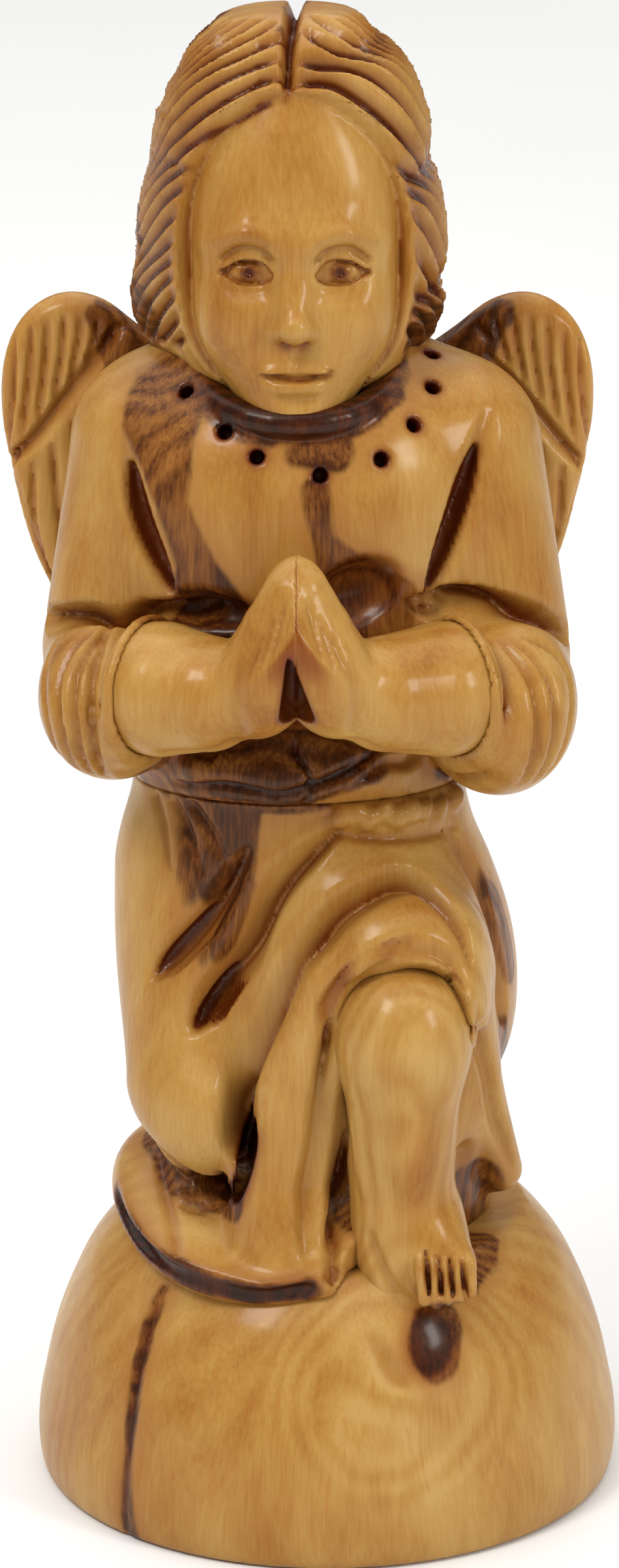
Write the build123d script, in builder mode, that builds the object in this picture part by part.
"""Kneeling, praying angel in olive wood: carved blocks glued together on round dowels.

Millimetres. +Z is up, the figure looks along -Y and +X is to the viewer's right.
The origin is the centre of the round resting face under the mound.
"""

import os

from build123d import *

# ---------------------------------------------------------------- driving sizes
# mound
mound_radius = 29.3
mound_height = 28.0
mound_belly = 0.5  # how far the side swells past the foot of the mound
seat_radius = 20.4  # flat on top of the mound, where the skirt is glued
figure_x = -3.0  # the figure stands this far off the mound's centre line

# skirt
skirt_height = 46.0
skirt_half_width = 20.0
skirt_shift = 2.2  # its widest ring lies this far to the viewer's right of the axis
skirt_half_depth = 18.5
hem_radius = 18.4
thigh_radius = 10.2
thigh_reach = 23.0  # from the figure's axis forward to the cloth over the knee
knee_offset = 10.0  # of the raised knee, to the viewer's right of the axis
kneel_radius = 9.0

# bare leg
knee_radius = 6.2
calf_radius = 5.8
ankle_radius = 4.3
leg_front = 17.0  # from the figure's axis forward to the leg's own axis
foot_width = 9.0
foot_length = 13.0
toe_count = 5
toe_length = 3.6

# torso and sleeves
torso_height = 40.0
waist_half_width = 16.5
waist_half_depth = 11.5
chest_half_width = 20.5
chest_half_depth = 12.8
collar_radius = 10.0
upper_arm_radius = 7.8
sleeve_radius = 8.8
arm_spread = 19.4  # from the axis out to the middle of each sleeve
arm_rise = 7.2  # of the sleeve's rounded top over the shoulder line
cuff_x = 15.8  # from the axis out to the flat face of each cuff
wing_seat_y = 10.4  # flat back of the torso, where the wings are glued
collar_hole_radius = 0.75
collar_hole_depth = 1.6
collar_hole_count = 8
collar_hole_ring = 13.0

# forearms and hands
forearm_radius = 5.9
wrist_radius = 4.6
forearm_gap = 0.9  # of air between the chest and each forearm
hand_length = 15.0
hand_width = 8.4

# head
head_height = 34.6
head_half_width = 15.8
head_half_depth = 13.4
head_back = 1.6  # the hair's middle lies this far behind the axis
face_half_width = 9.6
neck_radius = 7.2
neck_depth = 6.0
hair_gap = 0.8  # under the hair, over the shoulders

# wings
wing_height = 46.0
wing_width = 28.4
wing_thickness = 5.0
wing_inset = 1.4  # from the axis to each wing's inner edge
wing_drop = 40.0  # how far the wing's foot lies under the neck plane
feather_count = 7
feather_depth = 0.7

# joinery
dowel_radius = 1.5
dowel_length = 12.0
small_dowel_radius = 1.0
small_dowel_length = 8.0
dowel_end_gap = 0.5  # air for glue at each end of a dowel
glue_line = 0.1  # between curved faces that are glued

# ---------------------------------------------------------------- derived heights
seat_z = mound_height
waist_z = seat_z + skirt_height
neck_z = waist_z + torso_height
crown_z = neck_z + hair_gap + head_height
knee_z = seat_z + 0.60 * skirt_height
hands_z = waist_z + 0.37 * torso_height
knee_x = figure_x + knee_offset
forearm_y = -(chest_half_depth + forearm_gap + forearm_radius)
SIDES = {"right": -1, "left": 1}  # the figure's own right is at -X


# ---------------------------------------------------------------- shared shapes
def egg(centre, axis, half_length, radius):
    """A closed egg-shaped solid turned about an axis through its centre."""
    with BuildPart(mode=Mode.PRIVATE) as body:
        with BuildSketch(Plane.XZ):
            with BuildLine():
                EllipticalCenterArc((0, 0), radius, half_length, start_angle=-90, arc_size=180)
                Line((0, half_length), (0, -half_length))
            make_face()
        revolve(axis=Axis.Z)
    return Plane(origin=centre, z_dir=axis).location * body.part


def gouge(start, end, half_width):
    """The slim cutter that leaves one tapered gouge cut between two points."""
    path = Vector(end) - Vector(start)
    middle = (Vector(start) + Vector(end)) / 2
    return egg(middle, path, path.length / 2, half_width)


def mound_block(gap=0.0):
    """The dome turned about Z, grown by a gap where another piece is fitted to it."""
    with BuildPart(mode=Mode.PRIVATE) as block:
        with BuildSketch(Plane.XZ):
            with BuildLine():
                foot = (mound_radius + gap, 0)
                belly = (mound_radius + mound_belly + gap, 0.16 * mound_height)
                brow = (0.5 * (mound_radius + seat_radius) + 1.4 + gap, 0.78 * mound_height)
                lip = (seat_radius + gap, mound_height + gap)
                Spline(foot, belly, brow, lip)
                Polyline(lip, (0, mound_height + gap), (0, 0), foot)
            make_face()
        revolve(axis=Axis.Z)
    return block.part


def leg_block(gap=0.0):
    """The bare knee, shin and ankle as one loft, grown by a gap for its pocket."""
    leg_y = -leg_front
    with BuildPart(mode=Mode.PRIVATE) as block:
        rings = (
            (seat_z - 2.0, 2.2, ankle_radius, ankle_radius),
            (seat_z + 5.0, 1.6, ankle_radius, ankle_radius),
            (seat_z + 0.32 * skirt_height, 0.0, calf_radius, calf_radius + 0.4),
            (knee_z - 3.0, 0.0, knee_radius, knee_radius + 0.5),
            (knee_z + 3.4, 0.2, 0.62 * knee_radius, 0.7 * knee_radius),
        )
        for height, shift, half_x, half_y in rings:
            with BuildSketch(Plane.XY.offset(height)):
                with Locations((knee_x + shift, leg_y)):
                    Ellipse(half_x + gap, half_y + gap)
        loft()
    return block.part


def bore(point, direction, radius, length):
    """A round hole cutter whose middle lies at a point, along a direction."""
    drill = Cylinder(radius, length + 2 * dowel_end_gap, mode=Mode.PRIVATE)
    return Plane(origin=point, z_dir=direction).location * drill


def dowel(point, direction, radius, length):
    """The peg that lies in a bore."""
    peg = Cylinder(radius, length, mode=Mode.PRIVATE)
    return Plane(origin=point, z_dir=direction).location * peg


# Where each dowel crosses its glue face.
base_dowel_points = [(figure_x - 9.0, 2.0, seat_z), (figure_x + 9.0, 6.0, seat_z)]
waist_dowel_points = [(figure_x - 6.5, 1.0, waist_z), (figure_x + 6.5, 1.0, waist_z)]
neck_dowel_point = (figure_x, 0, neck_z - neck_depth)
wing_dowel_points = [
    (figure_x + side * (wing_inset + reach), wing_seat_y, neck_z - down)
    for side in SIDES.values()
    for reach, down in ((4.2, 9.0), (4.2, 21.0))
]
cuff_dowel_points = {
    name: (figure_x + side * cuff_x, forearm_y, hands_z - 4.0) for name, side in SIDES.items()
}

# ---------------------------------------------------------------- base mound
with BuildPart() as base_mound:
    add(mound_block())
    for point in base_dowel_points:
        add(bore(point, (0, 0, 1), dowel_radius, dowel_length), mode=Mode.SUBTRACT)
base_mound.part.label = "base_mound"

# ---------------------------------------------------------------- bare left leg
foot_y = -leg_front - 0.10 * foot_length
foot_middle = (knee_x + 2.6, foot_y, seat_z + 0.3)
with BuildPart() as left_leg:
    add(leg_block())
    add(egg(foot_middle, (0, 1, 0), foot_length / 2, foot_width / 2))
    toe_pitch = foot_width / toe_count
    for n in range(toe_count):
        toe_x = knee_x + 2.6 + (n - (toe_count - 1) / 2) * toe_pitch
        toe_y = foot_y - 0.34 * foot_length
        add(egg((toe_x, toe_y, seat_z - 0.6), (0, 1, 0), toe_length, 0.62 * toe_pitch))
    add(mound_block(glue_line), mode=Mode.SUBTRACT)
left_leg.part.label = "left_leg"

# ---------------------------------------------------------------- skirt
with BuildPart() as skirt:
    skirt_rings = (
        (seat_z, 0.9 * skirt_shift, hem_radius, hem_radius),
        (seat_z + 0.28 * skirt_height, 0.8 * skirt_shift, skirt_half_width - 0.8, skirt_half_depth),
        (seat_z + 0.60 * skirt_height, skirt_shift, skirt_half_width, skirt_half_depth),
        (seat_z + 0.86 * skirt_height, 0.5 * skirt_shift, skirt_half_width - 2.0, skirt_half_depth - 4.0),
        (waist_z, 0.0, waist_half_width, waist_half_depth),
    )
    for height, shift, half_x, half_y in skirt_rings:
        with BuildSketch(Plane.XY.offset(height)):
            with Locations((figure_x + shift, 0.6)):
                Ellipse(half_x, half_y)
    loft()
    # cloth over the raised thigh and knee, and over the kneeling leg
    thigh_y = -(thigh_reach - 1.45 * thigh_radius)
    add(egg((knee_x, thigh_y, knee_z), (0, 1, 0), 1.45 * thigh_radius, thigh_radius))
    kneel_z = seat_z + 0.36 * skirt_height
    add(egg((figure_x - 9.5, -6.0, kneel_z), (0, 0, 1), 1.5 * kneel_radius, kneel_radius))
    # the hem that spreads over the mound on the kneeling side
    hem = (figure_x - 4.0, -3.4, seat_z + 2.6)
    add(egg(hem, (0, 0, 1), 5.4, hem_radius - 1.5))
    # gouged folds that fan from the waist to the kneeling knee
    for n in range(3):
        fold_start = (figure_x + 1.0 + 3.4 * n, -skirt_half_depth + 4.0, waist_z - 6.0 - 2.5 * n)
        fold_end = (figure_x - 13.0 + 4.6 * n, -skirt_half_depth + 1.0, knee_z - 5.0 - 8.0 * n)
        add(gouge(fold_start, fold_end, 1.7), mode=Mode.SUBTRACT)
    # one flat bottom face, on the seat
    with BuildSketch(Plane.XY.offset(seat_z)):
        Circle(2 * mound_radius)
    extrude(amount=-mound_height, mode=Mode.SUBTRACT)
    add(mound_block(), mode=Mode.SUBTRACT)
    # the pocket that holds the bare leg, open in front of it and over the foot
    add(leg_block(glue_line), mode=Mode.SUBTRACT)
    with BuildSketch(Plane.XY.offset(seat_z)):
        with Locations((knee_x + 1.4, -leg_front - thigh_reach / 2)):
            Rectangle(2 * knee_radius + 1.6, thigh_reach)
    extrude(amount=knee_z + 4.0 - seat_z, mode=Mode.SUBTRACT)
    foot_pocket = egg(foot_middle, (0, 1, 0), foot_length / 2 + glue_line, foot_width / 2 + glue_line)
    add(foot_pocket, mode=Mode.SUBTRACT)
    for point in base_dowel_points:
        add(bore(point, (0, 0, 1), dowel_radius, dowel_length), mode=Mode.SUBTRACT)
    for point in waist_dowel_points:
        add(bore(point, (0, 0, 1), dowel_radius, dowel_length), mode=Mode.SUBTRACT)
skirt.part.label = "skirt"

# ---------------------------------------------------------------- torso with both sleeves
shoulder_z = neck_z - 5.0
with BuildPart() as torso:
    torso_rings = (
        (waist_z, waist_half_width, waist_half_depth),
        (waist_z + 0.36 * torso_height, chest_half_width - 1.5, chest_half_depth - 0.4),
        (waist_z + 0.66 * torso_height, chest_half_width, chest_half_depth),
        (waist_z + 0.88 * torso_height, chest_half_width - 2.6, chest_half_depth - 1.4),
        (neck_z, collar_radius, collar_radius - 0.6),
    )
    for height, half_x, half_y in torso_rings:
        with BuildSketch(Plane.XY.offset(height)):
            with Locations((figure_x, 0)):
                Ellipse(half_x, half_y)
    loft()
    for side in SIDES.values():
        sleeve_x = figure_x + side * arm_spread
        arm_z = 0.5 * (shoulder_z + hands_z)
        arm_height = shoulder_z + arm_rise - arm_z
        arm = (sleeve_x - side * 1.2, -1.0, arm_z)
        add(egg(arm, (-0.07 * side, 0, 1), arm_height, upper_arm_radius))
        elbow = (sleeve_x - side * 1.0, forearm_y + 1.2 * sleeve_radius, hands_z - 5.6)
        add(egg(elbow, (0, 1, 0), 1.7 * sleeve_radius, sleeve_radius))
    # flat cuff faces: the room between the sleeves, in front of the chest
    room_depth = 2 * abs(forearm_y)
    with BuildSketch(Plane.XY.offset(waist_z)):
        with Locations((figure_x, -chest_half_depth - room_depth / 2)):
            Rectangle(2 * cuff_x, room_depth)
    extrude(amount=hands_z + 8.0 - waist_z, mode=Mode.SUBTRACT)
    # flat bottom over the waist, and the flat back for the wings
    with BuildSketch(Plane.XY.offset(waist_z)):
        Circle(2 * mound_radius)
    extrude(amount=-mound_height, mode=Mode.SUBTRACT)
    with BuildSketch(Plane.XZ.offset(-wing_seat_y)):
        with Locations((figure_x, neck_z)):
            Rectangle(6 * chest_half_width, 4 * torso_height)
    extrude(amount=-chest_half_depth, mode=Mode.SUBTRACT)
    # socket for the neck
    with BuildSketch(Plane.XY.offset(neck_z)):
        with Locations((figure_x, 0)):
            Circle(neck_radius + glue_line)
    extrude(amount=-neck_depth, mode=Mode.SUBTRACT)
    # gouge cut beside each sleeve
    for side in SIDES.values():
        cut_top = (figure_x + side * 16.0, -chest_half_depth + 0.8, shoulder_z - 2.0)
        cut_end = (figure_x + side * 12.0, -chest_half_depth - 0.4, hands_z + 6.0)
        add(gouge(cut_top, cut_end, 1.6), mode=Mode.SUBTRACT)
    # drilled holes round the collar
    for n in range(collar_hole_count):
        turn = -150 + 120 * n / (collar_hole_count - 1)
        rim = Vector(collar_hole_ring, 0, 0).rotate(Axis.Z, turn)
        hole_plane = Plane(origin=(figure_x + rim.X, 0.8 * rim.Y, neck_z), z_dir=(rim.X, rim.Y, 10))
        drill = Cylinder(collar_hole_radius, 4 * collar_hole_depth + 8.0, mode=Mode.PRIVATE)
        add(hole_plane.location * drill, mode=Mode.SUBTRACT)
    for point in waist_dowel_points:
        add(bore(point, (0, 0, 1), dowel_radius, dowel_length), mode=Mode.SUBTRACT)
    add(bore(neck_dowel_point, (0, 0, 1), dowel_radius, dowel_length), mode=Mode.SUBTRACT)
    for point in wing_dowel_points:
        add(bore(point, (0, 1, 0), small_dowel_radius, small_dowel_length), mode=Mode.SUBTRACT)
    for point in cuff_dowel_points.values():
        add(bore(point, (1, 0, 0), small_dowel_radius, small_dowel_length), mode=Mode.SUBTRACT)
torso.part.label = "torso"

# ---------------------------------------------------------------- forearms with hands
forearms = {}
for name, side in SIDES.items():
    with BuildPart() as forearm:
        reach = cuff_x - 2.0
        for share, half_y, half_z, drop in (
            (0.0, forearm_radius, forearm_radius + 0.8, -4.0),
            (0.55, wrist_radius + 0.8, wrist_radius + 0.6, -2.2),
            (1.0, wrist_radius, wrist_radius, -1.0),
        ):
            ring_x = figure_x + side * (cuff_x - share * reach)
            with BuildSketch(Plane.YZ.offset(ring_x)):
                with Locations((forearm_y - 3.6 * share, hands_z + drop)):
                    Ellipse(half_y, half_z)
        loft()
        # the hand: fingers together, pointing up, palm on the figure's middle plane
        palm = (figure_x + side * 0.4, forearm_y - 3.0, hands_z + 2.0)
        add(egg(palm, (-0.2 * side, 0, 1), hand_length / 2 + 2.0, hand_width / 2))
        with BuildSketch(Plane.YZ.offset(figure_x)):
            Circle(2 * neck_z)
        extrude(amount=-side * 2 * mound_radius, mode=Mode.SUBTRACT)
        cuff_hole = cuff_dowel_points[name]
        add(bore(cuff_hole, (1, 0, 0), small_dowel_radius, small_dowel_length), mode=Mode.SUBTRACT)
    forearm.part.label = name + "_forearm"
    forearms[name] = forearm.part

# ---------------------------------------------------------------- head
hair_z = neck_z + hair_gap
with BuildPart() as head:
    head_rings = (
        (hair_z, head_half_width - 1.4, head_half_depth - 2.2),
        (hair_z + 0.30 * head_height, head_half_width, head_half_depth - 0.6),
        (hair_z + 0.66 * head_height, head_half_width - 1.4, head_half_depth - 0.6),
        (hair_z + 0.90 * head_height, head_half_width - 6.0, head_half_depth - 5.2),
        (crown_z, head_half_width - 11.5, head_half_depth - 10.5),
    )
    for height, half_x, half_y in head_rings:
        with BuildSketch(Plane.XY.offset(height)):
            with Locations((figure_x, head_back)):
                Ellipse(half_x, half_y)
    loft()
    face_z = hair_z + 0.40 * head_height
    add(egg((figure_x, -6.4, face_z), (0, 0, 1), 0.40 * head_height, face_half_width))
    add(gouge((figure_x, 0, crown_z), (figure_x, -12.0, crown_z - 8.0), 0.9), mode=Mode.SUBTRACT)
    # trimmed flat over the collar, then the neck that seats in the torso
    with BuildSketch(Plane.XY.offset(hair_z)):
        Circle(2 * mound_radius)
    extrude(amount=-mound_height, mode=Mode.SUBTRACT)
    with BuildSketch(Plane.XY.offset(neck_z - neck_depth)):
        with Locations((figure_x, 0)):
            Circle(neck_radius)
    extrude(amount=neck_depth + 0.3 * head_height)
    add(bore(neck_dowel_point, (0, 0, 1), dowel_radius, dowel_length), mode=Mode.SUBTRACT)
head.part.label = "head"

# ---------------------------------------------------------------- wings
wings = {}
for name, side in SIDES.items():
    with BuildPart() as wing:
        inner = figure_x + side * wing_inset
        foot_z = neck_z - wing_drop
        with BuildSketch(Plane.XZ.offset(-wing_seat_y)):
            with BuildLine():
                Spline(
                    (inner, foot_z),
                    (inner + side * 0.80 * wing_width, foot_z + 0.26 * wing_height),
                    (inner + side * wing_width, foot_z + 0.76 * wing_height),
                    (inner + side * 0.82 * wing_width, foot_z + wing_height),
                    (inner + side * 0.44 * wing_width, foot_z + 0.93 * wing_height),
                    (inner, foot_z + 0.72 * wing_height),
                )
                Line((inner, foot_z + 0.72 * wing_height), (inner, foot_z))
            make_face()
        extrude(amount=-wing_thickness)
        # long gouge cuts between the feathers, on the front face outside the body
        for n in range(feather_count):
            quill_y = wing_seat_y - 0.3 * feather_depth
            quill_x = inner + side * wing_width * (0.55 + 0.40 * n / feather_count)
            top = (quill_x, quill_y, foot_z + (0.90 - 0.02 * n) * wing_height)
            end = (quill_x - side * 2.0, quill_y, foot_z + (0.30 + 0.03 * n) * wing_height)
            add(gouge(top, end, feather_depth), mode=Mode.SUBTRACT)
        for point in wing_dowel_points:
            if (point[0] - figure_x) * side > 0:
                add(bore(point, (0, 1, 0), small_dowel_radius, small_dowel_length), mode=Mode.SUBTRACT)
    wing.part.label = name + "_wing"
    wings[name] = wing.part

# ---------------------------------------------------------------- dowels
with BuildPart() as base_dowels:
    for point in base_dowel_points:
        add(dowel(point, (0, 0, 1), dowel_radius, dowel_length))
base_dowels.part.label = "base_dowels"

with BuildPart() as waist_dowels:
    for point in waist_dowel_points:
        add(dowel(point, (0, 0, 1), dowel_radius, dowel_length))
waist_dowels.part.label = "waist_dowels"

with BuildPart() as neck_dowel:
    add(dowel(neck_dowel_point, (0, 0, 1), dowel_radius, dowel_length))
neck_dowel.part.label = "neck_dowel"

with BuildPart() as wing_dowels:
    for point in wing_dowel_points:
        add(dowel(point, (0, 1, 0), small_dowel_radius, small_dowel_length))
wing_dowels.part.label = "wing_dowels"

with BuildPart() as forearm_dowels:
    for point in cuff_dowel_points.values():
        add(dowel(point, (1, 0, 0), small_dowel_radius, small_dowel_length))
forearm_dowels.part.label = "forearm_dowels"

# ---------------------------------------------------------------- export
pieces = [base_mound.part, skirt.part, left_leg.part, torso.part, head.part]
pieces += [*forearms.values(), *wings.values()]
pieces += [base_dowels.part, waist_dowels.part, neck_dowel.part, wing_dowels.part, forearm_dowels.part]
os.makedirs("parts", exist_ok=True)
for piece in pieces:
    export_step(piece, f"parts/{piece.label}.step")
    print(piece.label, "solids", len(piece.solids()), "volume", round(piece.volume))
